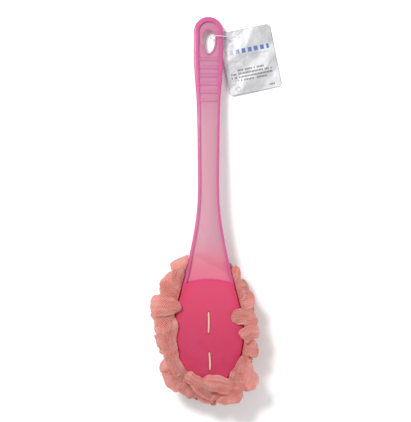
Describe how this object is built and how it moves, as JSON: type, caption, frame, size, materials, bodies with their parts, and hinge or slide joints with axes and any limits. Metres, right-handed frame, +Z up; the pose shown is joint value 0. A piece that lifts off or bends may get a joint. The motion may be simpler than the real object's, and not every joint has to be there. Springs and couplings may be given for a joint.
{
  "type": "long-handled netting back scrubber",
  "caption": "Long-handled back scrubber: a translucent moulded handle and paddle, a puff of gathered netting tied on, and a swing tag.",
  "frame": {"origin": "middle of the netting puff's flat underside, on the handle's centre line, with the scrubber lying on its puff", "axes": "+Y along the handle from the paddle to the hanging hole, +Z up, out of the paddle's back, +X to the right seen from above"},
  "size_m": [0.1281, 0.3885, 0.045],
  "materials": {
    "translucent_pink_plastic": "gloss",
    "salmon_netting": "satin",
    "cream_cord": "matte",
    "clear_filament": "gloss",
    "silver_foil_card": "gloss"
  },
  "bodies": {
    "scrubber": {"handle": "translucent_pink_plastic", "upper_skin_side_netting": "salmon_netting", "upper_paddle_side_netting": "salmon_netting", "lower_skin_side_netting": "salmon_netting", "lower_paddle_side_netting": "salmon_netting", "upper_tie_cord": "cream_cord", "lower_tie_cord": "cream_cord"},
    "ring": {"tag_ring": "clear_filament"},
    "tag": {"swing_tag": "silver_foil_card"}
  },
  "joints": [
    {"name": "ring_swing", "type": "hinge", "parent": "scrubber", "child": "ring", "pos_m": [0.0105, 0.29, 0.00904], "axis": [0, -0.9875, 0.1574], "range_deg": [0, 165]},
    {"name": "tag_swivel", "type": "hinge", "parent": "ring", "child": "tag", "pos_m": [0.01565, 0.29, 0.0024], "axis": [0.0384, 0, 0.9993], "range_deg": [-60, 45]}
  ]
}
